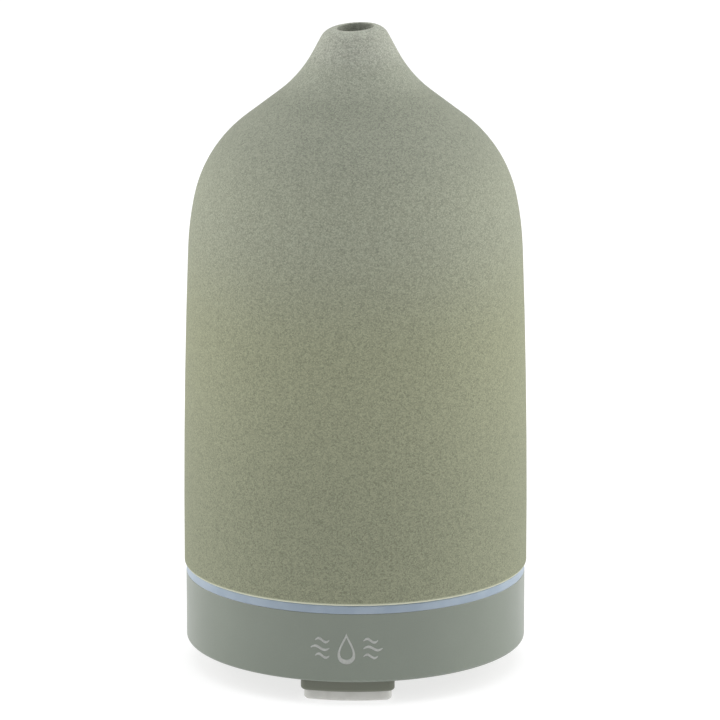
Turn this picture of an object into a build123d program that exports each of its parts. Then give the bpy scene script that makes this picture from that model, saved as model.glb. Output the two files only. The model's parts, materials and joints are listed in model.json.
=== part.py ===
from build123d import *

import os
from math import asin, cos, degrees, hypot, pi, radians, sin

# Ultrasonic essential oil diffuser: a ceramic cover over a water tank on a round plastic base.
# Millimetres, +Z up. The origin is on the table, under the middle of the three foot pads.
# The front faces -Y; the power socket and the two push buttons are at the back.
# Azimuths are in degrees from +X, anticlockwise seen from above, so the front is at -90.

# ---- Driving dimensions ----
BASE_R = 45.05  # outside of the base
BASE_H = 18.5  # side of the base
BASE_WALL = 2.2
PAD_H = 2.75  # visible height of a foot pad
PAD_SUNK = 0.8  # depth of its recess in the foot
FOOT_H = 3.55  # moulded foot above the pad
BAND_H = 2.2  # visible band of the light ring
COVER_R = 45.5  # widest radius of the ceramic cover
COVER_WALL = 4.0
COVER_TOP = 170.4  # middle of the mouth's rim
MOUTH_R = 4.8
MOUTH_TILT = 5.6  # the rim is cut slightly aslant
MOUTH_HIGH = 38  # azimuth of the rim's highest point
BRIM_FILLET = 4.1
MOUTH_FILLET = 0.3
TANK_R = 38.0
TANK_WALL = 2.0
TANK_TOP = 84.0
CHIMNEY_RUN = 47.0  # straight length of the lid's chimney
MIST_GAP = 0.5  # clearance of a part that lifts off its seat

# ---- Heights that follow ----
BASE_LOW = PAD_H + FOOT_H
BASE_TOP = BASE_LOW + BASE_H
DECK_T = 2.0
DECK_LOW = BASE_TOP - DECK_T
DECK_R = 30.0  # opening in the deck
PLATE_T = 2.0
PLATE_TOP = BASE_LOW + PLATE_T
PLATE_R = BASE_R - BASE_WALL - 0.25
COVER_LOW = BASE_TOP + BAND_H
INNER_R = BASE_R - BASE_WALL  # inside of the base's wall

# ---- Stations round the base ----
FOOT_AZIMUTHS = {"front": -90, "rear_right": 30, "rear_left": 150}
FOOT_SPAN = (34.0, 42.0)  # a foot's distances from the axis
FOOT_HALF = 12.75  # half its width
FOOT_CORNER = 2.0
PAD_INSET = 1.0  # from the foot's edges to the pad's, inwards and outwards
PAD_HALF = 11.85
PAD_CORNER = 1.8
BASE_SCREWS = [(37.6, a) for a in (-120, -60, 65, 115)]
TANK_SCREWS = [(32.6, a) for a in (-135, -45, 45, 135)]
BOARD_SCREWS = [(25.0, a) for a in (75, 215, 320)]
CLAMP_SCREWS = [(13.8, a) for a in (60, 180, 300)]
LED_RING_R = 40.6
LED_AZIMUTHS = [45 * n for n in range(8)]
BUTTONS = {"mist": 138, "light": 42}
BUTTON_Z = 15.0
SOCKET_Z = 14.5
HOLE_PLAY = 0.2  # round a button or the socket in the base's wall

# ---- Fan and air duct ----
FAN_LOW = PLATE_TOP + 1.0
FAN_TOP = FAN_LOW + 10.0
FAN_HALF = 16.0
FAN_FIXINGS = [(13.4, -13.4), (-13.4, 13.4)]
ROTOR_R = 11.5
CAVITY_R = 13.0
DUCT_X = (16.6, 25.4)
DUCT_Y = (0.0, 14.0)
DUCT_WALL = 1.2
DUCT_GASKET_T = 1.0
TOWER_WALL = 1.5
TOWER_TOP = 76.0
SEAT_LOW = 35.2  # underside of the transducer seat
COLLAR_LOW = 36.0  # underside of the tank's air collar

# ---- Main board ----
BOARD_R = 29.0
BOARD_LOW = 27.0
BOARD_T = 1.6

# ---- Making ----
LOW = (Align.CENTER, Align.CENTER, Align.MIN)
FUSE = 0.1  # fused shapes run this far into each other
PAST = 1.0  # cutting shapes run this far past a face
SNUG = 0.05  # clearance of a shaft in its bearing, or of a pad in its recess
NEAR = 0.01  # heights closer than this are the same


# ---- Small shapes ----
def polar(radius, azimuth):
    return radius * cos(radians(azimuth)), radius * sin(radians(azimuth))


def disc(radius, low, high, at=(0, 0)):
    return Pos(at[0], at[1], low) * Cylinder(radius, high - low, align=LOW)


def ring(outer, inner, low, high, at=(0, 0)):
    return disc(outer, low, high, at) - disc(inner, low - PAST, high + PAST, at)


def block(x, y, z):
    """A box between three (low, high) pairs."""
    size = (x[1] - x[0], y[1] - y[0], z[1] - z[0])
    return Pos(x[0], y[0], z[0]) * Box(*size, align=(Align.MIN,) * 3)


def turned(*points):
    """A solid of revolution about Z from (radius, height) points."""
    return revolve(Plane.XZ * make_face(Polyline(*points, close=True)), Axis.Z)


def rod(radius, start, end, height, azimuth):
    """A round bar along a radius of the base, between two distances from the axis."""
    bar = Pos(start, 0, height) * Rot(0, 90, 0) * Cylinder(radius, end - start, align=LOW)
    return Rot(0, 0, azimuth) * bar


def slab(x, width, z, azimuth):
    """A box that faces along a radius: x is its (near, far) distance from the axis."""
    return Rot(0, 0, azimuth) * block(x, (-width / 2, width / 2), z)


def sector(inner, outer, half_width, corner, low, high, azimuth):
    """An arc-shaped block with rounded corners, half_width to each side of its azimuth."""
    spread = degrees(asin(half_width / outer))
    tips = [polar(r, a) for r, a in ((inner, -spread), (outer, -spread), (outer, spread), (inner, spread))]
    outline = [
        Line(tips[0], tips[1]),
        CenterArc((0, 0), outer, -spread, 2 * spread),
        Line(tips[2], tips[3]),
        CenterArc((0, 0), inner, spread, -2 * spread),
    ]
    face = make_face(outline)
    face = fillet(face.vertices(), corner)
    return Rot(0, 0, azimuth) * Pos(0, 0, low) * extrude(face, high - low)


def hoops(shape, least, most, above):
    """Edges that run once round the axis at a radius between least and most."""
    around = [e for e in shape.edges() if least < e.length / (2 * pi) < most]
    return [e for e in around if e.bounding_box().min.Z > above]


def softened(shape, radius, height):
    """The shape with a fillet on its edges that lie wholly at one height."""
    boxes = [(e, e.bounding_box()) for e in shape.edges()]
    flat = [e for e, box in boxes if abs(box.min.Z - height) < NEAR and abs(box.max.Z - height) < NEAR]
    return fillet(flat, radius)


def screw(at, head_low, head_r, head_h, shank_r, tip):
    """A pan-head screw driven upwards: head_low is the head's underside, tip the shank's end."""
    seat = head_low + head_h
    body = disc(head_r, head_low, seat, at) + disc(shank_r, seat, tip, at)
    body = softened(body, 0.4, head_low)
    cross_depth, cross_width = 0.6, 0.5
    bar = Box(1.2 * head_r, cross_width, 2 * cross_depth, align=LOW)
    for turn in (0, 90):
        body -= Pos(at[0], at[1], head_low - cross_depth) * Rot(0, 0, turn) * bar
    return body


def group(shapes):
    return Compound(children=list(shapes))


def places(stations):
    """Points from (distance, azimuth) pairs."""
    return [polar(*station) for station in stations]


def thinned(span, wall):
    """A (low, high) pair with a wall taken off each end."""
    return span[0] + wall, span[1] - wall


def about(middle, half):
    """The (low, high) pair that reaches half to each side of a middle."""
    return middle - half, middle + half


def walk(start, heading, moves, inset):
    """Edges of a tangent run of lines and arcs in the (radius, height) plane, and where it ends.

    heading is in degrees from outwards; a move is (length, 0) for a line, or (radius, turn) for an
    arc with its turn positive to the left. The run is shifted by inset to the left.
    """
    h = radians(heading)
    x, y = start[0] - inset * sin(h), start[1] + inset * cos(h)
    edges = []
    for size, turn in moves:
        if turn == 0:
            end = (x + size * cos(h), y + size * sin(h))
            edges.append(Line((x, y), end))
        else:
            side = 1 if turn > 0 else -1
            radius = size - side * inset
            centre = (x - side * radius * sin(h), y + side * radius * cos(h))
            edges.append(CenterArc(centre, radius, heading - side * 90, turn))
            heading += turn
            h = radians(heading)
            end = (centre[0] + side * radius * sin(h), centre[1] - side * radius * cos(h))
        x, y = end
    return edges, (x, y)


# ---- Ceramic cover ----
WIDEST_Z = COVER_LOW + 5.5
BARREL_R = 2000.0  # the side's slight belly
SHOULDER_Z = 112.0
SHOULDER_ARCS = (81.7, 34.9)  # radii, from the side up to the slope
SOFT_LEAN = 12.0  # lean from vertical where they meet
SLOPE_LEAN = 52.7  # lean of the straight slope
SLOPE_RUN = 11.3
NECK_ARC = 32.9
NECK_LEAN = 28.1  # lean of the neck's straight top
NECK_RUN = 10.0  # past the rim, which is cut from it


def cover_profile(inset, top_run):
    """The cover's outside, or with an inset its inside, from the lower edge to the mouth."""
    low_lean = degrees(asin((COVER_LOW - WIDEST_Z) / BARREL_R))
    top_lean = degrees(asin((SHOULDER_Z - WIDEST_Z) / BARREL_R))
    moves = [
        (BARREL_R, top_lean - low_lean),
        (SHOULDER_ARCS[0], SOFT_LEAN - top_lean),
        (SHOULDER_ARCS[1], SLOPE_LEAN - SOFT_LEAN),
        (SLOPE_RUN, 0),
        (NECK_ARC, NECK_LEAN - SLOPE_LEAN),
        (top_run, 0),
    ]
    start_r = COVER_R - BARREL_R * (1 - cos(radians(low_lean)))
    return walk((start_r, COVER_LOW), 90 + low_lean, moves, inset)


def on_bore(shape, radius, above):
    """Edges above a height that lie on an upright bore of this radius."""
    high = [e for e in shape.edges() if e.bounding_box().min.Z > above]
    return [e for e in high if abs(hypot((e @ 0.5).X, (e @ 0.5).Y) - radius) < NEAR]


def ceramic_cover():
    """An even wall, solid above the point where its inside would meet the mouth's bore."""
    outer, outer_end = cover_profile(0, NECK_RUN)
    bend_end = cover_profile(COVER_WALL, PAST)[1]
    inner_run = (bend_end[0] - MOUTH_R) / sin(radians(NECK_LEAN)) + 2 * PAST
    inner, inner_end = cover_profile(COVER_WALL, inner_run)
    foot_out, foot_in = outer[0] @ 0, inner[0] @ 0
    ends = [
        Line(inner_end, (0, inner_end[1])),
        Line((0, inner_end[1]), (0, outer_end[1])),
        Line((0, outer_end[1]), outer_end),
        Line(foot_out, (foot_in.X, foot_out.Y)),
        Line((foot_in.X, foot_out.Y), (foot_in.X, foot_in.Y)),
    ]
    ends = [e for e in ends if e.length > NEAR]
    body = revolve(Plane.XZ * make_face(outer + inner + ends), Axis.Z)
    slant = Rot(0, 0, MOUTH_HIGH) * Pos(0, 0, COVER_TOP) * Rot(0, -MOUTH_TILT, 0)
    body -= slant * Box(COVER_R, COVER_R, 2 * NECK_RUN, align=LOW)
    rim_low = COVER_TOP - 1.4
    body = fillet(hoops(body, MOUTH_R + 1.5, MOUTH_R + 4.5, rim_low), BRIM_FILLET)
    body -= Rot(0, 0, MOUTH_HIGH + 180) * disc(MOUTH_R, bend_end[1], COVER_TOP + 2 * PAST)
    body = fillet(on_bore(body, MOUTH_R, rim_low), MOUTH_FILLET)
    return softened(body, 0.7, COVER_LOW)


# ---- Lid of the tank, with its mist chimney ----
LID_R = 38.2
LID_WALL = 1.6
LID_WEB_TOP = TANK_TOP + 1.8
PLUG_DEPTH = 5.0


def inner_lid():
    moves = [(1.6, 0), (2.0, 70), (19.5, 0), (14.0, -67), (CHIMNEY_RUN, 0)]
    outer, outer_end = walk((LID_R, TANK_TOP), 90, moves, 0)
    inner, inner_end = walk((LID_R, TANK_TOP), 90, moves, LID_WALL)
    ends = [Line((LID_R, TANK_TOP), (LID_R - LID_WALL, TANK_TOP)), Line(outer_end, inner_end)]
    dome = revolve(Plane.XZ * make_face(outer + inner + ends), Axis.Z)
    plug_r = TANK_R - TANK_WALL - MIST_GAP
    plug = ring(plug_r, plug_r - LID_WALL, TANK_TOP - PLUG_DEPTH, LID_WEB_TOP)
    web = ring(LID_R - LID_WALL / 2, plug_r - LID_WALL, TANK_TOP, LID_WEB_TOP)
    return dome + plug + web


# ---- Water tank ----
TANK_FOOT = BASE_TOP + 0.8  # on its gasket
LIP_LOW = COVER_LOW + 4.0
LIP_R = 40.9
LIP_T = 1.2
FLOOR_EDGE = (40.8, 43.0)  # the sloping floor's underside and top at the wall
FLOOR_MIDDLE = (37.4, 39.2)  # and round the transducer
WELL_R = 13.0
DISC_HOLE_R = 8.5
POCKET_R = 11.0
POCKET_TOP = 37.2
SEAT_R = 16.0
FILL_LINE_Z = 66.0
FILL_LINE_WIDTH = 30.0


def fill_line():
    """A low rib inside the tank's front that marks the highest water level."""
    inside = TANK_R - TANK_WALL
    rib = ring(inside + 0.2, inside - 0.5, FILL_LINE_Z, FILL_LINE_Z + 0.6)
    return rib & slab((inside / 2, TANK_R), FILL_LINE_WIDTH, (FILL_LINE_Z - PAST, FILL_LINE_Z + 2), -90)


def water_tank():
    inside = TANK_R - TANK_WALL
    body = turned(
        (inside, TANK_FOOT),
        (TANK_R, TANK_FOOT),
        (TANK_R, LIP_LOW),
        (LIP_R, LIP_LOW),
        (LIP_R, LIP_LOW + LIP_T),
        (TANK_R, LIP_LOW + LIP_T),
        (TANK_R, TANK_TOP),
        (inside, TANK_TOP),
        (inside, FLOOR_EDGE[1]),
        (WELL_R, FLOOR_MIDDLE[1]),
        (DISC_HOLE_R, FLOOR_MIDDLE[1]),
        (DISC_HOLE_R, POCKET_TOP),
        (POCKET_R, POCKET_TOP),
        (POCKET_R, SEAT_LOW),
        (SEAT_R, SEAT_LOW),
        (SEAT_R, FLOOR_MIDDLE[0]),
        (inside, FLOOR_EDGE[0]),
    )
    body += block(DUCT_X, DUCT_Y, (COLLAR_LOW, TOWER_TOP))
    for at in places(TANK_SCREWS):
        body += disc(2.8, BASE_TOP, 41.0, at)
    for at in places(BOARD_SCREWS):
        body += disc(2.4, BOARD_LOW + BOARD_T, 39.8, at)
    body += fill_line()
    for at in places(TANK_SCREWS):
        body -= disc(1.1, BASE_TOP - PAST, BASE_TOP + 9, at)
    for at in places(BOARD_SCREWS):
        body -= disc(0.9, BOARD_LOW, BOARD_LOW + BOARD_T + 6, at)
    for at in places(CLAMP_SCREWS):
        body -= disc(0.9, SEAT_LOW - PAST, SEAT_LOW + 2.8, at)
    bore_x, bore_y = thinned(DUCT_X, TOWER_WALL), thinned(DUCT_Y, TOWER_WALL)
    body -= block(bore_x, bore_y, (COLLAR_LOW - PAST, TOWER_TOP + PAST))
    return body


def tank_gasket():
    return ring(TANK_R - 0.1, TANK_R - TANK_WALL + 0.1, BASE_TOP, TANK_FOOT)


# ---- Light ring between base and cover ----
RING_BORE = TANK_R + 0.5
SPIGOT_R = 41.0  # centres the cover


def light_ring():
    rim = BASE_R - 0.05
    body = turned(
        (RING_BORE, BASE_TOP),
        (rim, BASE_TOP),
        (rim, COVER_LOW),
        (SPIGOT_R, COVER_LOW),
        (SPIGOT_R, LIP_LOW),
        (RING_BORE, LIP_LOW),
    )
    return fillet(hoops(body, rim - NEAR, rim + NEAR, BASE_TOP + 1), 0.25)


# ---- Base housing and bottom plate ----
BOSS_LOW = PLATE_TOP + 1.3
BOSS_R = 2.6
BASE_PILOT = (1.1, 10.0)  # radius and depth of a hole for a base screw
PASS_R = 1.7  # hole that a tank screw passes through
LAMP_HOLE_R = 1.6


def base_housing():
    body = turned(
        (BASE_R, BASE_LOW),
        (BASE_R, BASE_TOP),
        (DECK_R, BASE_TOP),
        (DECK_R, DECK_LOW),
        (INNER_R, DECK_LOW),
        (INNER_R, BASE_LOW),
    )
    rims = hoops(body, BASE_R - NEAR, BASE_R + NEAR, 0)
    body = fillet([e for e in rims if e.center().Z < BASE_LOW + 1], 0.9)
    body = fillet(hoops(body, BASE_R - NEAR, BASE_R + NEAR, BASE_TOP - 1), 0.25)
    for at in places(BASE_SCREWS):
        body += disc(BOSS_R, BOSS_LOW, DECK_LOW + FUSE, at)
    for at in places(BASE_SCREWS):
        body -= disc(BASE_PILOT[0], BOSS_LOW - PAST, BOSS_LOW + BASE_PILOT[1], at)
    for at in places(TANK_SCREWS):
        body -= disc(PASS_R, DECK_LOW - PAST, BASE_TOP + PAST, at)
    for azimuth in LED_AZIMUTHS:
        body -= disc(LAMP_HOLE_R, DECK_LOW - PAST, BASE_TOP + PAST, polar(LED_RING_R, azimuth))
    for azimuth in BUTTONS.values():
        body -= rod(BUTTON_R + HOLE_PLAY, INNER_R - PAST, BASE_R + PAST, BUTTON_Z, azimuth)
    body -= rod(SOCKET_COLLAR_R + HOLE_PLAY, INNER_R - PAST, BASE_R + PAST, SOCKET_Z, 90)
    return body


def foot(azimuth):
    shape = sector(*FOOT_SPAN, FOOT_HALF, FOOT_CORNER, PAD_H, BASE_LOW + FUSE, azimuth)
    return softened(shape, 0.8, PAD_H)


def pad_block(low, high, play, azimuth):
    """A foot pad's outline between two heights, grown by play."""
    inner, outer = FOOT_SPAN[0] + PAD_INSET - play, FOOT_SPAN[1] - PAD_INSET + play
    return sector(inner, outer, PAD_HALF + play, PAD_CORNER + play, low, high, azimuth)


def foot_pad(azimuth):
    return softened(pad_block(0, PAD_H + PAD_SUNK, 0, azimuth), 1.0, 0)


SCREW_PAD = (3.0, 1.2)  # radius and height of the plate's seat under a base screw's boss
SCREW_CLEAR_R = 1.4
HEAD_WELL = (2.6, 1.6)  # radius and depth of the recess for a base screw's head
VENT_SLOTS = 12
VENT_SLOT = (7.6, 1.8)
VENT_SLOT_R = 10.2
VENT_HOLES = 6
VENT_HOLE_R = 0.9
VENT_RING_R = 3.4


def vents(body):
    """The body with a rosette of air slots and holes under the fan."""
    slot = Pos(VENT_SLOT_R, 0, BASE_LOW - PAST) * extrude(SlotOverall(*VENT_SLOT), PLATE_T + 2 * PAST)
    for n in range(VENT_SLOTS):
        body -= Rot(0, 0, 360 / VENT_SLOTS * n) * slot
    for n in range(VENT_HOLES):
        at = polar(VENT_RING_R, 360 / VENT_HOLES * n)
        body -= disc(VENT_HOLE_R, BASE_LOW - PAST, PLATE_TOP + PAST, at)
    return body


def socket_cradle():
    """The shelf under the power socket, with a rib at each side and a stop behind it."""
    rib_top = SOCKET_Z + 1.0
    rise = (PLATE_TOP - FUSE, rib_top)
    cradle = block(about(0, SOCKET_HALF), (30.0, 41.0), (PLATE_TOP - FUSE, SOCKET_Z - SOCKET_RISE))
    for side in (-1, 1):
        rib = sorted((side * (SOCKET_HALF + 0.2), side * 5.9))
        stop = sorted((side * 3.4, side * 5.9))
        cradle += block(rib, (29.1, 41.3), rise) + block(stop, (27.9, 29.2), rise)
    return cradle


def bottom_plate():
    body = disc(PLATE_R, BASE_LOW, PLATE_TOP)
    for azimuth in FOOT_AZIMUTHS.values():
        body += foot(azimuth)
        body -= pad_block(PAD_H - PAST, PAD_H + PAD_SUNK, SNUG, azimuth)
    for at in places(BASE_SCREWS):
        body += disc(SCREW_PAD[0], PLATE_TOP - FUSE, PLATE_TOP + SCREW_PAD[1], at)
        body -= disc(SCREW_CLEAR_R, BASE_LOW - PAST, PLATE_TOP + 2 * PAST, at)
        body -= disc(HEAD_WELL[0], BASE_LOW - PAST, BASE_LOW + HEAD_WELL[1], at)
    body = vents(body)
    for at in FAN_FIXINGS:
        body += disc(2.6, PLATE_TOP - FUSE, FAN_LOW, at)
        body -= disc(0.9, FAN_LOW - 2.2, FAN_LOW + PAST, at)
    body += socket_cradle()
    for azimuth in BUTTONS.values():
        body += switch_cradle(azimuth)
    return body


# ---- Push buttons and their switches ----
BUTTON_R = 3.5
BUTTON_FACE = 45.4  # distances from the axis, from the face inwards
FLANGE = (41.9, 42.4)
PLUNGER_END = 41.85
SWITCH_BODY = (37.4, 40.9)
SWITCH_BOARD = (36.2, 37.4)
CRADLE = (35.2, 38.4)
FLANGE_R = BUTTON_R + 1.0
DISH_R = 22.0
DISH_DEPTH = 0.4
PLUNGER_R = 1.7
SWITCH_HALF = 3.0
SWITCH_BOARD_WIDTH = 10.0
SWITCH_PIN_OUT = 2.2
SWITCH_PIN_HALF = 0.3


def switch_cradle(azimuth):
    """Two grooved posts that hold a switch board upright."""
    above = (PLATE_TOP, BASE_TOP)
    posts = slab(CRADLE, SWITCH_BOARD_WIDTH + 2.6, (PLATE_TOP - FUSE, PLATE_TOP + 6), azimuth)
    posts -= slab((CRADLE[0] - PAST, CRADLE[1] + PAST), SWITCH_BOARD_WIDTH - 3.0, above, azimuth)
    groove = thinned(SWITCH_BOARD, -SNUG)
    return posts - slab(groove, SWITCH_BOARD_WIDTH + 0.2, above, azimuth)


def push_button(azimuth):
    cap = rod(BUTTON_R, FLANGE[0], BUTTON_FACE, BUTTON_Z, 0)
    face = [e for e in cap.edges() if abs(e.center().X - BUTTON_FACE) < NEAR]
    cap = fillet(face, 0.5)
    cap += rod(FLANGE_R, *FLANGE, BUTTON_Z, 0)
    dish = Pos(BUTTON_FACE + DISH_R - DISH_DEPTH, 0, BUTTON_Z) * Sphere(DISH_R)
    return Rot(0, 0, azimuth) * (cap - dish)


def switch_plunger(azimuth):
    return rod(PLUNGER_R, SWITCH_BODY[1] - 1.0, PLUNGER_END, BUTTON_Z, azimuth)


def switch_pins(near, far, azimuth):
    """The switch's four pins, between two distances from the axis."""
    pins = []
    for across in (-SWITCH_PIN_OUT, SWITCH_PIN_OUT):
        for up in (-SWITCH_PIN_OUT, SWITCH_PIN_OUT):
            pin = block((near, far), about(across, SWITCH_PIN_HALF), about(BUTTON_Z + up, SWITCH_PIN_HALF))
            pins.append(Rot(0, 0, azimuth) * pin)
    return pins


def switch_body(azimuth):
    body = slab(SWITCH_BODY, 2 * SWITCH_HALF, about(BUTTON_Z, SWITCH_HALF), azimuth)
    body -= rod(PLUNGER_R + SNUG, SWITCH_BODY[1] - 1.7, SWITCH_BODY[1] + PAST, BUTTON_Z, azimuth)
    for pin in switch_pins(SWITCH_BOARD[0] - 0.8, SWITCH_BOARD[1] + FUSE, azimuth):
        body += pin
    return body


def switch_board(azimuth):
    board = slab(SWITCH_BOARD, SWITCH_BOARD_WIDTH, (PLATE_TOP, BUTTON_Z + 4.2), azimuth)
    for hole in switch_pins(SWITCH_BOARD[0] - PAST, SWITCH_BOARD[1] + PAST, azimuth):
        board -= hole
    return board


# ---- Power socket ----
SOCKET_HALF = 4.5  # half the block's width
SOCKET_RISE = 5.5  # half its height
SOCKET_BLOCK_Y = (29.4, 42.3)
SOCKET_COLLAR_R = 4.0
SOCKET_MOUTH_Y = BASE_R - 0.35
SOCKET_BORE_R = 3.2
SOCKET_FLOOR_Y = 34.2
SOCKET_PIN_R = 1.05
SOCKET_ROOT_R = 1.4  # the pin's thicker root, inside the socket's block
SOCKET_ROOT_Y = 31.0
TAB_X = (-2.2, 2.2)
TAB_HALF = 0.9
TAB_Z = (SOCKET_Z - 4.6, SOCKET_Z - 4.0)
TAB_OUT_Y = 25.6


def dc_socket():
    body = block(about(0, SOCKET_HALF), SOCKET_BLOCK_Y, about(SOCKET_Z, SOCKET_RISE))
    body += rod(SOCKET_COLLAR_R, SOCKET_BLOCK_Y[1] - 0.3, SOCKET_MOUTH_Y, SOCKET_Z, 90)
    body -= rod(SOCKET_BORE_R, SOCKET_FLOOR_Y, SOCKET_MOUTH_Y + PAST, SOCKET_Z, 90)
    body -= rod(SOCKET_ROOT_R, SOCKET_ROOT_Y, SOCKET_FLOOR_Y + 0.8, SOCKET_Z, 90)
    for x in TAB_X:
        body -= block(about(x, TAB_HALF), (SOCKET_BLOCK_Y[0] - PAST, SOCKET_ROOT_Y), TAB_Z)
    return body


def dc_pin():
    tip_y = SOCKET_MOUTH_Y - 0.9
    pin = rod(SOCKET_PIN_R, SOCKET_FLOOR_Y, tip_y, SOCKET_Z, 90)
    tip = [e for e in pin.edges() if e.bounding_box().min.Y > tip_y - NEAR]
    return fillet(tip, 0.4) + rod(SOCKET_ROOT_R, SOCKET_ROOT_Y, SOCKET_FLOOR_Y, SOCKET_Z, 90)


def dc_contacts():
    return group(block(about(x, TAB_HALF), (TAB_OUT_Y, SOCKET_ROOT_Y), TAB_Z) for x in TAB_X)


# ---- Fan ----
FAN_CORNER = 3.0
FAN_SKIN = 1.0  # thickness of the case's top and of the inlet cover
FAN_EXIT = (1.5, 12.5)  # the outlet's width, along y
FAN_INLET_R = 9.2
FAN_SCREW_CLEAR_R = 1.15
BEARING_R = 1.9
BEARING_LOW = 13.0
SHAFT_R = 0.75
HUB_R = 6.6
HUB_LOW = FAN_LOW + 1.7
HUB_TOP = HUB_LOW + 6.2
HUB_SKIN = 0.8
CUP_R = HUB_R - 0.6  # inside of the hub
BLADES = 23
BLADE = (3.2, 0.6, HUB_TOP - HUB_LOW - 0.9)
BLADE_ANGLE = 40
POLES = (0, 90, 180, 270)
POLE_HALF = 0.6
STATOR_Z = (HUB_LOW + 2.2, HUB_LOW + 4.6)


def fan_square(low, high):
    body = block(about(0, FAN_HALF), about(0, FAN_HALF), (low, high))
    body = fillet(body.edges().filter_by(Axis.Z), FAN_CORNER)
    for at in FAN_FIXINGS:
        body -= disc(FAN_SCREW_CLEAR_R, low - PAST, high + PAST, at)
    return body


def fan_case():
    low, ceiling = FAN_LOW + FAN_SKIN, FAN_TOP - FAN_SKIN
    body = fan_square(low, FAN_TOP)
    body -= disc(CAVITY_R, low - PAST, ceiling)
    body -= block((0, FAN_HALF + PAST), FAN_EXIT, (low - PAST, ceiling))
    body += disc(BEARING_R + 0.7, BEARING_LOW - 0.4, ceiling + FUSE)
    return body - disc(BEARING_R, BEARING_LOW - PAST, ceiling - 0.2)


def fan_cover():
    return fan_square(FAN_LOW, FAN_LOW + FAN_SKIN) - disc(FAN_INLET_R, FAN_LOW - PAST, FAN_LOW + 2 * PAST)


def fan_impeller():
    body = turned(
        (SHAFT_R, HUB_LOW),
        (HUB_R, HUB_LOW),
        (HUB_R, HUB_TOP - HUB_SKIN),
        (ROTOR_R, HUB_TOP - HUB_SKIN),
        (ROTOR_R, HUB_TOP),
        (CUP_R, HUB_TOP),
        (CUP_R, HUB_LOW + HUB_SKIN),
        (SHAFT_R, HUB_LOW + HUB_SKIN),
    )
    blade = Pos(ROTOR_R - BLADE[0] / 2, 0, HUB_LOW + 0.2) * Rot(0, 0, BLADE_ANGLE) * Box(*BLADE, align=LOW)
    for n in range(BLADES):
        body += Rot(0, 0, 360 / BLADES * n) * blade
    return body


def fan_shaft():
    return disc(SHAFT_R, HUB_LOW, FAN_TOP - 1.4)


def fan_bearing():
    return ring(BEARING_R, SHAFT_R + SNUG, BEARING_LOW, FAN_TOP - 1.25)


def fan_magnet():
    return ring(CUP_R, CUP_R - 0.8, HUB_LOW + 1.2, HUB_TOP - 0.3)


def fan_stator():
    """A sleeve round the bearing's boss with four T-shaped poles."""
    core = ring(3.3, 2.6, *STATOR_Z)
    for turn in POLES:
        core += Rot(0, 0, turn) * block((3.1, 4.5), about(0, POLE_HALF), STATOR_Z)
        core += Rot(0, 0, turn) * (ring(4.9, 4.3, *STATOR_Z) & block((3, 6), about(0, 2.4), STATOR_Z))
    return core


def fan_coils():
    """A coil round each pole, between the sleeve and the pole's head."""
    wire = 0.6
    coil = block((3.45, 4.15), about(0, 1.1), (STATOR_Z[0] - wire, STATOR_Z[1] + wire))
    coil -= block((3, 5), about(0, POLE_HALF), STATOR_Z)
    return group(Rot(0, 0, turn) * coil for turn in POLES)


def fan_board():
    return ring(5.8, 2.7, HUB_TOP + 0.35, FAN_TOP - 1.05)


def fan_screws():
    screws = []
    for at in FAN_FIXINGS:
        head = disc(1.9, FAN_TOP, FAN_TOP + 1.3, at)
        screws.append(head + disc(0.88, FAN_LOW - 2.0, FAN_TOP, at))
    return group(screws)


def air_duct():
    low, high = FAN_LOW + 0.1, COLLAR_LOW - DUCT_GASKET_T
    body = block(DUCT_X, DUCT_Y, (low, high))
    body += block((FAN_HALF, DUCT_X[0] + FUSE), thinned(DUCT_Y, 0.3), (low, FAN_TOP))
    body -= block(thinned(DUCT_X, DUCT_WALL), thinned(DUCT_Y, DUCT_WALL), (low + 0.9, high + PAST))
    return body - block((FAN_HALF - PAST, DUCT_X[0] + 3), FAN_EXIT, thinned((FAN_LOW, FAN_TOP), FAN_SKIN))


def duct_gasket():
    low = COLLAR_LOW - DUCT_GASKET_T
    hole = block(thinned(DUCT_X, DUCT_WALL), thinned(DUCT_Y, DUCT_WALL), (low - PAST, COLLAR_LOW + PAST))
    return block(DUCT_X, DUCT_Y, (low, COLLAR_LOW)) - hole


# ---- Ultrasonic transducer ----
DISC_R = 10.0
DISC_Z = (36.0, 36.6)
PIEZO_R = 7.4
PIEZO_T = 0.7
CLAMP_R = (7.8, 15.6)
CLAMP_T = 1.4


def transducer_disc():
    return disc(DISC_R, *DISC_Z)


def piezo_element():
    return disc(PIEZO_R, DISC_Z[0] - PIEZO_T, DISC_Z[0])


def transducer_seal():
    return ring(POCKET_R, DISC_HOLE_R + 0.1, SEAT_LOW, POCKET_TOP) - disc(DISC_R, *DISC_Z)


def transducer_clamp():
    body = ring(CLAMP_R[1], CLAMP_R[0], SEAT_LOW - CLAMP_T, SEAT_LOW)
    for at in places(CLAMP_SCREWS):
        body -= disc(1.1, SEAT_LOW - CLAMP_T - PAST, SEAT_LOW + PAST, at)
    return body


# ---- Main board: its parts hang from its underside ----
CAPACITORS = [((-9.0, -21.5), 4.0, 11.5), ((0.5, -22.5), 4.0, 11.5), ((8.6, -20.5), 2.5, 7.0)]
INDUCTOR_AT = (-21.4, -6.0)
INDUCTOR_R = (3.4, 4.5)  # core and flanges
TRANSISTOR_X = (-9.0, 1.0)
TRANSISTOR_Y = (19.4, 21.6)
LEG_X = (-6.5, -4.0, -1.5)
SINK_X = (-12.0, 4.0)
SINK_T = 1.2
FIN_PITCH = 3.0
FINS = 6
CHIP_LEGS = 7
CHIP_PITCH = 1.27
CONNECTORS = [(-22.0, 4.0), (-19.5, 13.0), (18.5, -5.5), (12.0, -12.0), (11.5, 19.5)]
CONNECTOR_H = 5.8
CONNECTOR_WALL = 0.7


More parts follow.
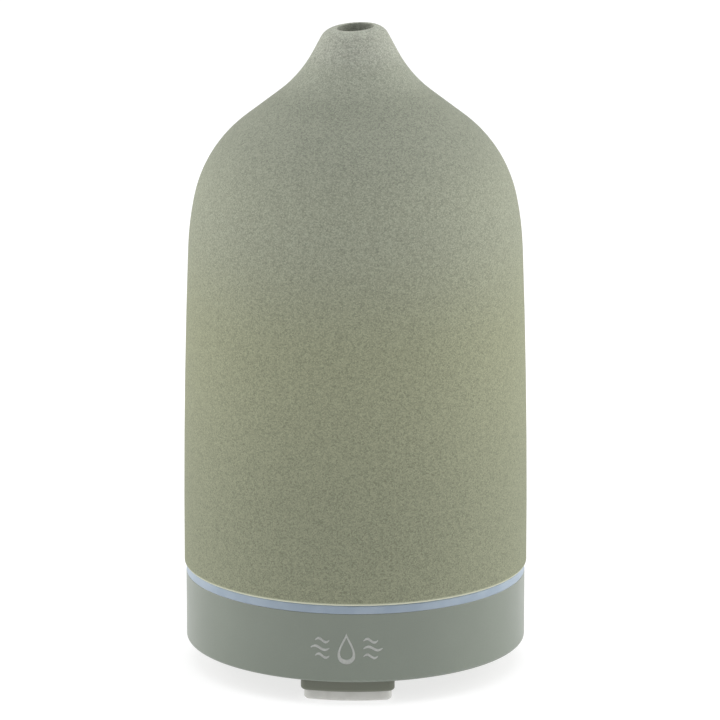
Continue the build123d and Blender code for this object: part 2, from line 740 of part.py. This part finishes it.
def main_board():
    body = disc(BOARD_R, BOARD_LOW, BOARD_LOW + BOARD_T)
    around = (BOARD_LOW - PAST, BOARD_LOW + BOARD_T + PAST)
    body -= block((DUCT_X[0] - 0.6, BOARD_R + PAST), thinned(DUCT_Y, -0.6), around)
    for at in places(BOARD_SCREWS):
        body -= disc(1.1, *around, at)
    return body - disc(3.0, *around, (-4, -12))


def board_capacitors():
    cans = []
    for at, radius, length in CAPACITORS:
        low = BOARD_LOW - length
        cans.append(softened(disc(radius, low, BOARD_LOW, at), 0.5, low))
    return group(cans)


def board_inductor():
    low, flange_t = BOARD_LOW - 8.0, 1.2
    core_r, flange_r = INDUCTOR_R
    body = disc(core_r, low, BOARD_LOW, INDUCTOR_AT)
    body += disc(flange_r, low, low + flange_t, INDUCTOR_AT)
    return body + disc(flange_r, BOARD_LOW - flange_t, BOARD_LOW, INDUCTOR_AT)


def power_transistor():
    body = block(TRANSISTOR_X, TRANSISTOR_Y, (BOARD_LOW - 12.0, BOARD_LOW - 3.0))
    for x in LEG_X:
        body += block(about(x, 0.4), about(20.5, 0.3), (BOARD_LOW - 3.0 - FUSE, BOARD_LOW))
    return body


def heat_sink():
    """A finned plate behind the transistor."""
    z = (BOARD_LOW - 13.0, BOARD_LOW - 1.0)
    back = TRANSISTOR_Y[1] + SINK_T
    body = block(SINK_X, (TRANSISTOR_Y[1], back), z)
    for n in range(FINS):
        x = SINK_X[0] + 0.2 + FIN_PITCH * n
        body += block((x, x + 0.8), (back - FUSE, back + 2.2), z)
    return body


def control_chip():
    body = block(about(0, 4.4), about(0, 2.0), (BOARD_LOW - 1.7, BOARD_LOW - 0.2))
    for n in range(CHIP_LEGS):
        x = CHIP_PITCH * (n - (CHIP_LEGS - 1) / 2)
        for side in (-1, 1):
            y = sorted((side * 1.9, side * 3.0))
            body += block(about(x, 0.2), y, (BOARD_LOW - 0.5, BOARD_LOW))
    return body


def board_connectors():
    plugs = []
    for x, y in CONNECTORS:
        wide, deep = about(x, 3.7), about(y, 2.8)
        plug = block(wide, deep, (BOARD_LOW - CONNECTOR_H, BOARD_LOW))
        inside = (BOARD_LOW - CONNECTOR_H - PAST, BOARD_LOW - 1.2)
        plug -= block(thinned(wide, CONNECTOR_WALL), thinned(deep, CONNECTOR_WALL), inside)
        for pin_x in about(x, 1.25):
            plug += block(about(pin_x, 0.3), about(y, 0.3), (BOARD_LOW - 4.8, BOARD_LOW - 1.0))
        plugs.append(plug)
    return group(plugs)


# ---- Light board ----
LIGHT_BOARD_TOP = DECK_LOW - 0.8
LIGHT_BOARD_T = 1.2
LIGHT_BOARD_R = (35.4, 42.4)


def light_board():
    """A flat ring, notched where the base screws' bosses pass."""
    z = (LIGHT_BOARD_TOP - LIGHT_BOARD_T, LIGHT_BOARD_TOP)
    body = ring(LIGHT_BOARD_R[1], LIGHT_BOARD_R[0], *z)
    notch_r, cut = BOSS_R + 0.3, (z[0] - PAST, z[1] + PAST)
    for radius, azimuth in BASE_SCREWS:
        body -= disc(notch_r, *cut, polar(radius, azimuth))
        body -= slab((LIGHT_BOARD_R[0] - PAST, radius), 2 * notch_r, cut, azimuth)
    return body


def ring_leds():
    lamps = []
    for azimuth in LED_AZIMUTHS:
        low, shoulder = LIGHT_BOARD_TOP, LIGHT_BOARD_TOP + 0.8
        lamp = slab(about(LED_RING_R, 1.4), 2.2, (low, shoulder), azimuth)
        lamp += disc(1.0, shoulder - FUSE, shoulder + 0.6, polar(LED_RING_R, azimuth))
        lamps.append(lamp)
    return group(lamps)


# ---- Fasteners ----
def base_screws():
    tip = BOSS_LOW + 9
    return group(screw(at, BASE_LOW + 0.2, 2.2, 1.4, 1.08, tip) for at in places(BASE_SCREWS))


def tank_screws():
    head, tip = 1.6, BASE_TOP + 8
    return group(screw(at, DECK_LOW - head, 2.2, head, 1.08, tip) for at in places(TANK_SCREWS))


def board_screws():
    head, tip = 1.4, BOARD_LOW + 6.5
    return group(screw(at, BOARD_LOW - head, 1.8, head, 0.88, tip) for at in places(BOARD_SCREWS))


def clamp_screws():
    head, tip = 1.3, SEAT_LOW + 2.6
    return group(screw(at, SEAT_LOW - CLAMP_T - head, 1.7, head, 0.88, tip) for at in places(CLAMP_SCREWS))


SINGLE_PARTS = [
    ceramic_cover,
    inner_lid,
    water_tank,
    tank_gasket,
    light_ring,
    base_housing,
    bottom_plate,
    base_screws,
    tank_screws,
    transducer_disc,
    piezo_element,
    transducer_seal,
    transducer_clamp,
    clamp_screws,
    fan_case,
    fan_cover,
    fan_impeller,
    fan_shaft,
    fan_bearing,
    fan_magnet,
    fan_stator,
    fan_coils,
    fan_board,
    fan_screws,
    air_duct,
    duct_gasket,
    main_board,
    board_capacitors,
    board_inductor,
    power_transistor,
    heat_sink,
    control_chip,
    board_connectors,
    board_screws,
    light_board,
    ring_leds,
    dc_socket,
    dc_pin,
    dc_contacts,
]


def main():
    os.makedirs("parts", exist_ok=True)
    shapes = {make.__name__: make() for make in SINGLE_PARTS}
    for place, azimuth in FOOT_AZIMUTHS.items():
        shapes[f"foot_pad_{place}"] = foot_pad(azimuth)
    for name, azimuth in BUTTONS.items():
        shapes[f"{name}_button"] = push_button(azimuth)
        shapes[f"{name}_switch_plunger"] = switch_plunger(azimuth)
        shapes[f"{name}_switch"] = switch_body(azimuth)
        shapes[f"{name}_switch_board"] = switch_board(azimuth)
    for name, shape in shapes.items():
        export_step(shape, f"parts/{name}.step")


main()
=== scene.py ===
import json
from math import atan2, cos, pi, radians, sin, tau

import bmesh
import bpy
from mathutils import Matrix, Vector


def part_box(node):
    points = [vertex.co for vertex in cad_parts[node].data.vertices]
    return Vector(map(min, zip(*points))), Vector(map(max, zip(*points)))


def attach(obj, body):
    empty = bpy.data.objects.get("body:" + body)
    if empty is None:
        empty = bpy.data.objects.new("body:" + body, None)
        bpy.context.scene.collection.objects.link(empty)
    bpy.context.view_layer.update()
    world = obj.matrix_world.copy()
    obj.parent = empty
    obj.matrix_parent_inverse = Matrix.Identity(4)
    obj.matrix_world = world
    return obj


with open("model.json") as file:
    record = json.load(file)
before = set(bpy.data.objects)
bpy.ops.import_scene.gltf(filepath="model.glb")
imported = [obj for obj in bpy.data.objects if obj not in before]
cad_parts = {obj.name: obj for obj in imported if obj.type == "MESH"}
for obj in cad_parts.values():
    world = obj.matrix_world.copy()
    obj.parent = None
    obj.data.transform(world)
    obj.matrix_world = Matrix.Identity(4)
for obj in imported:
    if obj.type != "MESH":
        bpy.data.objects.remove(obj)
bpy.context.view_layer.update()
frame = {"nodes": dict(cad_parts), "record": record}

# The diffuser stands on z = 0 with its axis on z. Its front faces -y.
MM = 0.001
base_low, base_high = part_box("base_housing")
cover_low, cover_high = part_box("ceramic_cover")
BASE_R = base_high.x
SEAM_Z = cover_low.z
TOP_Z = cover_high.z


# ---- Node helpers ----
class Paint:
    """A procedural material: a Principled shader and small functions that feed it."""

    def __init__(self, name, roughness=0.5, **sockets):
        self.material = bpy.data.materials.new(name)
        self.material.use_nodes = True
        self.nodes = self.material.node_tree.nodes
        self.links = self.material.node_tree.links
        self.shader = self.nodes["Principled BSDF"]
        self.shader.inputs["Roughness"].default_value = roughness
        for socket, value in sockets.items():
            self.shader.inputs[socket.replace("_", " ")].default_value = value
        self.place = self.nodes.new("ShaderNodeTexCoord").outputs["Object"]

    def node(self, kind, inputs=(), **settings):
        made = self.nodes.new("ShaderNode" + kind)
        for key, value in settings.items():
            setattr(made, key, value)
        for key, value in dict(inputs).items():
            if isinstance(value, bpy.types.NodeSocket):
                self.links.new(value, made.inputs[key])
            else:
                made.inputs[key].default_value = value
        return made

    def noise(self, grain, detail):
        """Noise with features of about one grain, in metres."""
        inputs = {"Vector": self.place, "Scale": 1 / grain, "Detail": detail}
        return self.node("TexNoise", inputs).outputs["Fac"]

    def grains(self, size):
        """Sand: a point's distance from the middle of its grain, 0 to about 0.8, and that grain's tone."""
        made = self.node("TexVoronoi", {"Vector": self.place, "Scale": 1 / size})
        tone = self.node("SeparateColor", {"Color": made.outputs["Color"]}).outputs[0]
        return made.outputs["Distance"], tone

    def gray(self, value):
        return self.node("CombineColor", {0: value, 1: value, 2: value}).outputs[0]

    def height(self):
        return self.node("SeparateXYZ", {"Vector": self.place}).outputs["Z"]

    def remap(self, value, low, high, to_low=0.0, to_high=1.0):
        inputs = {"Value": value, "From Min": low, "From Max": high, "To Min": to_low, "To Max": to_high}
        return self.node("MapRange", inputs, interpolation_type="SMOOTHSTEP").outputs["Result"]

    def math(self, operation, a, b):
        return self.node("Math", {0: a, 1: b}, operation=operation).outputs[0]

    def mix(self, factor, a, b, blend="MIX"):
        made = self.node("Mix", data_type="RGBA", blend_type=blend)
        for index, value in ((0, factor), (6, a), (7, b)):
            if isinstance(value, bpy.types.NodeSocket):
                self.links.new(value, made.inputs[index])
            elif index:
                made.inputs[index].default_value = (*value[:3], 1.0)
            else:
                made.inputs[index].default_value = value
        return made.outputs[2]

    def color(self, socket):
        self.links.new(socket, self.shader.inputs["Base Color"])

    def rough(self, socket):
        self.links.new(socket, self.shader.inputs["Roughness"])

    def bump(self, socket, depth, strength=1.0):
        """Adds a relief of this depth, in metres, on top of any already there."""
        made = self.node("Bump", {"Height": socket, "Distance": depth, "Strength": strength})
        before = self.shader.inputs["Normal"].links
        if before:
            self.links.new(before[0].from_socket, made.inputs["Normal"])
        self.links.new(made.outputs["Normal"], self.shader.inputs["Normal"])


def shade(rgb, factor):
    return tuple(c * factor for c in rgb)


# ---- Materials ----
CLAY_TONE_AND_SHADING = (  # how far under the mouth, and the clay's tone there with painted light and shade by height: painted shade darkest at the foot of the neck, painted light towards the neck's top
    (131 * MM, (0.243, 0.256, 0.178)),
    (81 * MM, (0.271, 0.283, 0.192)),
    (45 * MM, (0.283, 0.298, 0.229)),
    (23 * MM, (0.236, 0.249, 0.196)),
    (19 * MM, (0.228, 0.241, 0.190)),
    (12 * MM, (0.276, 0.291, 0.234)),
    (5 * MM, (0.331, 0.343, 0.288)),
)
CLAY_EDGE_HIGHLIGHT = (0.65, 0.66, 0.52)  # painted highlight: the cover's rounded lower edge painted pale, as if it caught the light
EDGE_HIGHLIGHT_SPAN = (0.1 * MM, 0.9 * MM)  # heights over the edge where that painted highlight fades out
GRAIN = 0.30 * MM
SCRATCH = 0.25 * MM  # from one scratch to the next on worked metal


def stone_ceramic():
    """Cast stoneware with a sandy face: fine grains, each of its own tone, the darkest of them pits."""
    p = Paint("stone_ceramic", roughness=0.9, Specular_IOR_Level=0.25)
    z = p.height()
    # the tone by height from the table above: the clay's colour with painted light and shade
    tone = CLAY_TONE_AND_SHADING[0][1]
    for (lower, _), (upper, rgb) in zip(CLAY_TONE_AND_SHADING, CLAY_TONE_AND_SHADING[1:]):
        tone = p.mix(p.remap(z, TOP_Z - lower, TOP_Z - upper), tone, rgb)
    cloud = p.remap(p.noise(9 * MM, 3), 0.3, 0.7, 0.995, 1.005)
    away, own = p.grains(GRAIN)
    pits = p.remap(own, 0.0, 0.2, 0.86, 1.0)
    speckle = p.math("MULTIPLY", p.remap(own, 0.1, 1.0, 0.87, 1.16), p.remap(away, 0.3, 0.8, 1.03, 0.86))
    speckle = p.math("MULTIPLY", p.math("MULTIPLY", speckle, pits), cloud)
    tone = p.mix(1.0, tone, p.gray(speckle), "MULTIPLY")
    # painted highlight: the cover's lower edge turns pale over these heights
    wear_and_highlight = p.remap(z, SEAM_Z + EDGE_HIGHLIGHT_SPAN[0], SEAM_Z + EDGE_HIGHLIGHT_SPAN[1], 1.0, 0.0)
    p.color(p.mix(wear_and_highlight, tone, CLAY_EDGE_HIGHLIGHT))
    p.rough(p.remap(own, 0.0, 1.0, 0.82, 0.97))
    p.bump(away, -0.05 * MM, 0.6)
    p.bump(pits, 0.05 * MM, 0.4)
    return p.material


def moulded(name, rgb, roughness, texture=0.3, spread=0.03, fleck=0.15, relief=0.01, **sockets):
    """Injection-moulded plastic: faint cloudiness, a fine eroded texture and slightly uneven gloss.

    texture and relief are the width and depth of its bumps in millimetres. spread is the share by which its
    tone strays between clouds. fleck is the share by which its specks are darker: a quarter of it shows.
    """
    p = Paint(name, roughness, **sockets)
    cloud = p.noise(14 * MM, 3)
    fine = p.noise(texture * MM, 2)
    tone = p.mix(p.remap(cloud, 0.3, 0.7), shade(rgb, 1 - spread), shade(rgb, 1 + spread))
    p.color(p.mix(p.remap(fine, 0.35, 0.65, 0.0, 0.25), tone, shade(rgb, 1 - fleck)))
    p.rough(p.remap(cloud, 0.3, 0.7, roughness * 0.9, roughness * 1.1))
    p.bump(fine, relief * MM, 0.35)
    return p.material


def milky(weight, reach):
    """Shader values for a body where light enters and comes out again about this far away, in metres."""
    return {"Subsurface_Weight": weight, "Subsurface_Radius": (1.0, 1.0, 1.0), "Subsurface_Scale": reach}


def light_ring():
    """Milky plastic, bluish while its lamps are off."""
    p = Paint("ring_plastic", 0.35, Specular_IOR_Level=0.06, **milky(0.35, 2 * MM))
    cloud = p.noise(6 * MM, 2)
    p.color(p.mix(p.remap(cloud, 0.3, 0.7), (0.29, 0.35, 0.42), (0.33, 0.39, 0.46)))
    p.rough(p.remap(p.noise(0.4 * MM, 2), 0.3, 0.7, 0.29, 0.41))
    p.bump(p.noise(0.5 * MM, 1), 0.01 * MM, 0.3)
    return p.material


def silicone():
    p = Paint("pad_silicone", 0.42, **milky(0.4, 3 * MM))
    cloud = p.noise(3 * MM, 2)
    p.color(p.mix(p.remap(cloud, 0.3, 0.7), (0.53, 0.53, 0.50), (0.585, 0.585, 0.555)))
    p.rough(p.remap(p.noise(0.3 * MM, 2), 0.3, 0.7, 0.36, 0.52))
    p.bump(p.noise(0.3 * MM, 2), 0.02 * MM, 0.4)
    return p.material


def rubber(name, rgb):
    p = Paint(name, 0.7)
    fine = p.noise(0.35 * MM, 3)
    p.color(p.mix(p.remap(fine, 0.3, 0.7), shade(rgb, 0.8), shade(rgb, 1.5)))
    p.rough(p.remap(fine, 0.3, 0.7, 0.6, 0.85))
    p.bump(fine, 0.03 * MM, 0.5)
    return p.material


def metal(name, rgb, roughness, lay=(1, 1, 1)):
    """Worked metal: its scratches stretch along the axis where lay is small."""
    p = Paint(name, roughness, Metallic=1.0)
    scaled = p.node("Mapping", {"Vector": p.place, "Scale": lay}).outputs["Vector"]
    lines = p.node("TexNoise", {"Vector": scaled, "Scale": 1 / SCRATCH, "Detail": 3}).outputs["Fac"]
    cloud = p.noise(5 * MM, 3)
    p.color(p.mix(p.remap(cloud, 0.3, 0.7), shade(rgb, 0.88), shade(rgb, 1.06)))
    p.rough(p.remap(lines, 0.3, 0.7, roughness * 0.75, roughness * 1.3))
    p.bump(lines, 0.006 * MM, 0.4)
    return p.material


def winding():
    """Enamelled copper wire: turns stacked in z, as fine ridges 0.29 mm apart."""
    p = Paint("copper_winding", 0.3, Metallic=1.0, Coat_Weight=0.6)
    turns = p.node("TexWave", {"Vector": p.place, "Scale": 1100, "Distortion": 0.4}, bands_direction="Z")
    p.color(p.mix(turns.outputs["Fac"], (0.30, 0.09, 0.03), (0.80, 0.36, 0.16)))
    p.bump(turns.outputs["Fac"], 0.05 * MM, 0.8)
    return p.material


def circuit_board():
    """Green solder mask over fine copper tracks, which run like the joints of 2.2 by 1.1 mm bricks."""
    p = Paint("circuit_board", 0.35, Coat_Weight=0.4)
    grid = {"Vector": p.place, "Scale": 230, "Mortar Size": 0.035, "Mortar Smooth": 0.2}
    tracks = p.node("TexBrick", grid)
    mask = p.mix(p.remap(p.noise(9 * MM, 2), 0.3, 0.7), (0.012, 0.11, 0.04), (0.02, 0.15, 0.06))
    p.color(p.mix(tracks.outputs["Fac"], mask, (0.05, 0.27, 0.11)))
    p.rough(p.remap(p.noise(0.5 * MM, 2), 0.3, 0.7, 0.28, 0.45))
    p.bump(tracks.outputs["Fac"], 0.03 * MM, 0.5)
    return p.material


def print_ink():
    p = Paint("print_ink", 0.5)
    wear_and_highlight = p.noise(0.5 * MM, 3)
    p.color(p.mix(p.remap(wear_and_highlight, 0.3, 0.7), (0.34, 0.35, 0.33), (0.40, 0.41, 0.39)))
    p.rough(p.remap(wear_and_highlight, 0.3, 0.7, 0.4, 0.6))
    p.bump(wear_and_highlight, 0.01 * MM, 0.5)
    return p.material


INK_PAINT = print_ink()
BASE_RGB = (0.175, 0.200, 0.165)
# painted shade: the bottom plate's plastic darkened below the base's, as it lies in shade under the base
PLATE_SHADE_RGB = (0.137, 0.147, 0.112)
WHITE_RGB = (0.56, 0.575, 0.58)
SLOTS = {
    "stone_ceramic": stone_ceramic(),
    "base_plastic": moulded("base_plastic", BASE_RGB, 0.36, Specular_IOR_Level=0.6),
    # painted shade, from the darkened colour above
    "plate_plastic": moulded("plate_plastic", PLATE_SHADE_RGB, 0.40),
    "button_plastic": moulded("button_plastic", BASE_RGB, 0.32),
    "ring_plastic": light_ring(),
    "clear_white_plastic": moulded(
        "white_plastic", WHITE_RGB, 0.32, texture=1.2, spread=0.01, fleck=0.03, relief=0.003
    ),
    "pad_silicone": silicone(),
    "seal_rubber": rubber("seal_rubber", (0.03, 0.03, 0.032)),
    "screw_steel": metal("screw_steel", (0.56, 0.55, 0.52), 0.32),
    "transducer_steel": metal("transducer_steel", (0.66, 0.66, 0.65), 0.2, lay=(0.05, 1, 1)),
    "piezo_ceramic": moulded("piezo_ceramic", (0.62, 0.60, 0.54), 0.45, texture=0.4, spread=0.06),
    "fan_plastic": moulded("fan_plastic", (0.022, 0.022, 0.024), 0.42, spread=0.15),
    "bearing_bronze": metal("bearing_bronze", (0.62, 0.42, 0.20), 0.4),
    "magnet": metal("magnet", (0.10, 0.10, 0.11), 0.6),
    "lamination_steel": metal("lamination_steel", (0.40, 0.40, 0.41), 0.4, lay=(1, 1, 8)),
    "copper_winding": winding(),
    "circuit_board": circuit_board(),
    "component_black": moulded("component_black", (0.02, 0.02, 0.021), 0.38, texture=0.25, spread=0.2),
    "can_aluminium": metal("can_aluminium", (0.72, 0.73, 0.74), 0.3, lay=(1, 1, 0.1)),
    "connector_plastic": moulded("connector_plastic", (0.74, 0.71, 0.60), 0.4, texture=0.4, spread=0.04),
    "lamp_resin": moulded("lamp_resin", (0.86, 0.82, 0.55), 0.2, texture=0.5, spread=0.05, Coat_Weight=0.5),
    "contact_brass": metal("contact_brass", (0.78, 0.66, 0.36), 0.25),
}


def dress_cad_nodes():
    for part in frame["record"]["subparts"]:
        node = frame["nodes"][part["node"]]
        for slot in node.material_slots:
            slot.material = SLOTS[part["material_slot"]]


# ---- Printed marks ----
def mesh_object(name, mesh, material, body):
    made = bpy.data.objects.new(name, mesh)
    bpy.context.collection.objects.link(made)
    mesh.materials.append(material)
    mesh.polygons.foreach_set("use_smooth", [True] * len(mesh.polygons))
    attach(made, body)


INK = 0.05 * MM  # the ink stands this far out of the wall, and reaches as far into it
MARK_DROP = 3.1 * MM  # from the base's top edge down to the middle of a button's mark


def ink_band(bm, left, right, closed, place):
    """A flat band of ink between two rows of 2-D points. place(x, y, lift) puts a point on the object."""
    rows = []
    for a, b in zip(left, right):
        corners = [(a, INK), (b, INK), (b, -INK), (a, -INK)]
        rows.append([bm.verts.new(place(*point, lift)) for point, lift in corners])
    follows = rows[1:] + rows[:1] if closed else rows[1:]
    for near, far in zip(rows, follows):
        for a in range(4):
            b = (a + 1) % 4
            bm.faces.new((near[a], near[b], far[b], far[a]))
    if not closed:
        bm.faces.new(rows[0][::-1])
        bm.faces.new(rows[-1])


def drop_outline(width, height, steps=96):
    """A drop: round below, drawn in to a point above."""
    turns = [tau * n / steps for n in range(steps)]
    return [(-width / 2 * sin(t) * sin(t / 2) ** 1.6, height / 2 * cos(t)) for t in turns]


def wave_line(start, length, swing, width, steps=28):
    """The two edges of a wavy stroke with tapered ends."""
    left, right = [], []
    for n in range(steps + 1):
        t = n / steps
        x, y = start + length * t, swing * sin(tau * t)
        half = width / 2 * (0.25 + 0.75 * sin(pi * t) ** 0.5)
        left.append((x, y + half))
        right.append((x, y - half))
    return left, right


def ray(start, length, width, turn):
    """The two edges of a short straight stroke that points away from the drawing's middle."""
    edges = []
    for side in (-width / 2, width / 2):
        ends = [(start, side), (start + length, side)]
        edges.append([(x * cos(turn) - y * sin(turn), x * sin(turn) + y * cos(turn)) for x, y in ends])
    return edges


def circle(radius, steps=48):
    return [(radius * cos(tau * n / steps), radius * sin(tau * n / steps)) for n in range(steps)]


def on_base(azimuth, z):
    """A function that puts a point of a flat drawing on the base's wall, round this middle."""

    def place(x, y, lift):
        angle, r = azimuth + x / BASE_R, BASE_R + lift
        return r * cos(angle), r * sin(angle), z + y

    return place


def print_on_base(name, bands, azimuth, z):
    """Prints a drawing: each band is its left edge, its right edge and whether it is closed."""
    bm = bmesh.new()
    for left, right, closed in bands:
        ink_band(bm, left, right, closed, on_base(azimuth, z))
    bmesh.ops.recalc_face_normals(bm, faces=bm.faces)
    mesh = bpy.data.meshes.new(name)
    bm.to_mesh(mesh)
    bm.free()
    mesh_object(name, mesh, INK_PAINT, "base")


def front_mark():
    """A drop between two groups of three short waves."""
    clear, row_gap = 4.4 * MM, 2.1 * MM  # from the middle to the waves, and between the waves
    swing, stroke = 0.5 * MM, 0.75 * MM
    bands = [(drop_outline(6.6 * MM, 8.4 * MM), drop_outline(4.7 * MM, 6.0 * MM), True)]
    for row, length in ((row_gap, 3.8 * MM), (0, 5.0 * MM), (-row_gap, 3.8 * MM)):
        for start in (clear, -clear - length):
            edges = wave_line(start, length, swing, stroke)
            left, right = ([(x, y + row) for x, y in edge] for edge in edges)
            bands.append((left, right, False))
    print_on_base("front_mark", bands, -pi / 2, (base_low.z + base_high.z) / 2)


def button_marks():
    """A small drop over the mist button and a small sun over the light button."""
    drop = [(drop_outline(2.3 * MM, 3.0 * MM), drop_outline(1.4 * MM, 1.8 * MM), True)]
    sun = [(circle(0.75 * MM), circle(0.42 * MM), True)]
    sun += [(*ray(1.0 * MM, 0.5 * MM, 0.3 * MM, tau * n / 8), False) for n in range(8)]
    for button, bands in (("mist_button", drop), ("light_button", sun)):
        low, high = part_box(button)
        azimuth = atan2(low.y + high.y, low.x + high.x)
        print_on_base(button.replace("button", "mark"), bands, azimuth, base_high.z - MARK_DROP)


# ---- Studio ----
FLOOR_HALF = 20.0  # half of the floor's side
CAMERA_AWAY = 1.250  # from the object's axis, level
CAMERA_RISE = 0.3736  # over the underside of the base
CAMERA_TURN = radians(3.0)  # to the right of the front
AIM_RISE = 0.0751  # of the point on the axis that the camera looks at
CAMERA_LENS = 243.5  # in millimetres, for a sensor 36 mm wide
FRAME_SHIFT = 0.00625  # the object stands left of the picture's middle by this share of its width


def studio_floor():
    bm = bmesh.new()
    bmesh.ops.create_grid(bm, x_segments=8, y_segments=8, size=FLOOR_HALF)
    mesh = bpy.data.meshes.new("studio_floor")
    bm.to_mesh(mesh)
    bm.free()
    floor = bpy.data.objects.new("studio_floor", mesh)
    bpy.context.collection.objects.link(floor)
    glow = {"Emission_Color": (1, 1, 1, 1), "Emission_Strength": 0.72}
    p = Paint("studio_floor", 0.8, Specular_IOR_Level=0.1, **glow)
    p.color(p.mix(p.noise(0.9, 2), (0.32, 0.32, 0.32), (0.34, 0.34, 0.34)))
    mesh.materials.append(p.material)


def softbox(name, place, aim, size, power, tint=(1, 1, 1)):
    """A rectangular lamp that faces the aim. Its power is in watts."""
    light = bpy.data.lights.new(name, "AREA")
    light.shape = "RECTANGLE"
    light.size, light.size_y = size
    light.energy = power
    light.color = tint
    lamp = bpy.data.objects.new(name, light)
    bpy.context.collection.objects.link(lamp)
    lamp.location = place
    lamp.rotation_euler = (Vector(aim) - Vector(place)).to_track_quat("-Z", "Y").to_euler()


def studio_world():
    """Even white light from all round, weaker from the front."""
    world = bpy.data.worlds.new("studio")
    bpy.context.scene.world = world
    world.use_nodes = True
    nodes, links = world.node_tree.nodes, world.node_tree.links
    background = nodes["Background"]
    background.inputs["Color"].default_value = (1.0, 1.0, 1.0, 1.0)
    way = nodes.new("ShaderNodeSeparateXYZ")
    links.new(nodes.new("ShaderNodeTexCoord").outputs["Generated"], way.inputs["Vector"])
    fade = nodes.new("ShaderNodeMapRange")
    fade.interpolation_type = "SMOOTHSTEP"
    for socket, value in (("From Min", -0.9), ("From Max", 0.3), ("To Min", 0.2), ("To Max", 0.7)):
        fade.inputs[socket].default_value = value
    links.new(way.outputs["Y"], fade.inputs["Value"])
    links.new(fade.outputs["Result"], background.inputs["Strength"])


def studio_lights():
    middle = (0, 0, TOP_Z / 2)
    warm, cool = (1.0, 0.99, 0.96), (0.94, 0.97, 1.0)
    softbox("left_panel", (-1.3, 0.3, 0.55), middle, (1.3, 1.4), 11, warm)
    softbox("right_panel", (1.3, 0.3, 0.55), middle, (1.3, 1.4), 13, warm)
    softbox("left_strip", (-1.15, -0.6, 0.45), middle, (0.35, 1.2), 4)
    softbox("right_strip", (1.15, -0.6, 0.45), middle, (0.35, 1.2), 4)
    softbox("top_panel", (0, -0.1, 1.7), middle, (1.8, 1.8), 16, cool)


def studio_camera():
    target = Vector((0, 0, base_low.z + AIM_RISE))
    side, back = CAMERA_AWAY * sin(CAMERA_TURN), CAMERA_AWAY * cos(CAMERA_TURN)
    place = Vector((side, -back, base_low.z + CAMERA_RISE))
    data = bpy.data.cameras.new("camera")
    data.lens = CAMERA_LENS
    data.sensor_width = 36.0
    data.shift_x = FRAME_SHIFT
    data.clip_start, data.clip_end = 0.01, 50
    camera = bpy.data.objects.new("camera", data)
    bpy.context.collection.objects.link(camera)
    camera.location = place
    camera.rotation_euler = (target - place).to_track_quat("-Z", "Y").to_euler()
    bpy.context.scene.camera = camera
    bpy.context.scene.view_settings.view_transform = "Standard"


studio_camera()
studio_world()
studio_lights()
studio_floor()
dress_cad_nodes()
front_mark()
button_marks()
